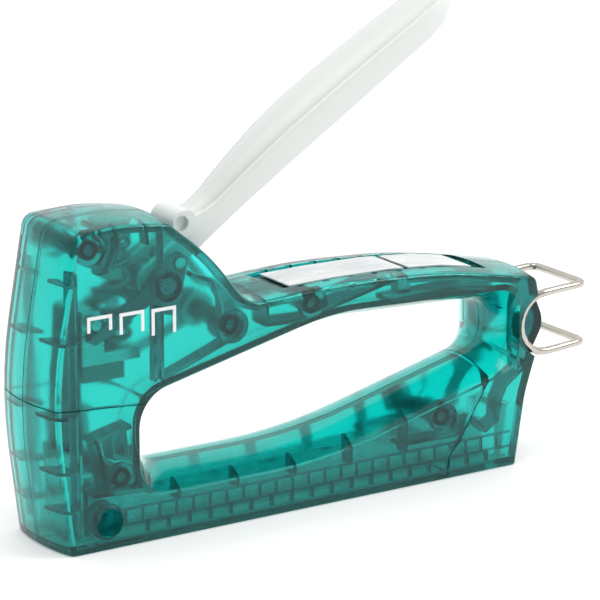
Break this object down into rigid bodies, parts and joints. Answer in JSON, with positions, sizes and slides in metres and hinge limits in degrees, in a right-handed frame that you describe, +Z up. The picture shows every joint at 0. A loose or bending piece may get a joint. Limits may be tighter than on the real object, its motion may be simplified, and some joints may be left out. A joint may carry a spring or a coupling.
{
  "type": "hand staple tacker",
  "caption": "Squeeze-lever hand tacker with a loop handle, translucent split housing, spring-driven hammer, staple magazine and swinging rear wire loop.",
  "frame": {"origin": "bottom centre of the whole tool's bounding box, on the plane of its flat base", "axes": "+X from the nose to the rear, +Z up, +Y to the side the screws go in from"},
  "size_m": [0.1678, 0.0274, 0.13],
  "materials": {
    "housing": "translucent teal moulded plastic, glossy",
    "lever": "satin light grey paint on a die-cast lever",
    "steel": "plain bright steel",
    "dark_steel": "hardened dark steel",
    "spring_steel": "oiled spring wire",
    "nickel_wire": "nickel-plated wire",
    "label": "blank white label under gloss film",
    "rubber": "grey elastomer",
    "natural_nylon": "natural nylon"
  },
  "bodies": {
    "housing": {"upper_shell_left": "housing", "upper_shell_right": "housing", "magazine_shell_left": "housing", "magazine_shell_right": "housing", "lever_pivot_pin": "steel", "power_spring": "spring_steel", "spring_guide": "natural_nylon", "hammer_bumper": "rubber", "magazine_rail": "steel", "nose_plate": "steel", "label_front": "label", "label_rear": "label", "housing_screw_head": "steel", "housing_screw_neck": "steel", "housing_screw_handle": "steel", "housing_screw_nose": "steel", "housing_screw_rear": "steel"},
    "lever": {"lever": "lever", "lift_fork": "dark_steel", "lever_rivet": "steel", "lever_return_spring": "spring_steel"},
    "hammer": {"hammer": "steel", "lift_pin": "steel", "driver_blade": "dark_steel"},
    "loader": {"magazine_rod": "steel", "magazine_catch": "housing", "pusher_spring": "spring_steel"},
    "pusher": {"staple_pusher": "steel"},
    "loop": {"wire_loop": "nickel_wire"}
  },
  "joints": [
    {"name": "lever_squeeze", "type": "hinge", "parent": "housing", "child": "lever", "pos_m": [-0.04872, 0, 0.0648], "axis": [0, 1, 0], "range_deg": [0, 38], "stiffness_Nm_per_rad": 0.12, "springref_deg": -57.3},
    {"name": "hammer_lift", "type": "slide", "parent": "housing", "child": "hammer", "axis": [0, 0, 1], "range_m": [0, 0.0134], "stiffness_N_per_m": 150, "springref_m": -0.02, "deforming": ["power_spring"]},
    {"name": "loader_pull", "type": "slide", "parent": "housing", "child": "loader", "axis": [1, 0, 0], "range_m": [0, 0.11]},
    {"name": "pusher_travel", "type": "slide", "parent": "loader", "child": "pusher", "axis": [1, 0, 0], "range_m": [0, 0.1], "stiffness_N_per_m": 10, "springref_m": -0.03, "deforming": ["pusher_spring"]},
    {"name": "loop_swing", "type": "hinge", "parent": "housing", "child": "loop", "pos_m": [0.06968, 0, 0.0374], "axis": [0, 1, 0], "range_deg": [-28, 28]}
  ],
  "couplings": [
    {"joint": "hammer_lift", "follows": "lever_squeeze", "m_per_rad": 0.0199}
  ]
}
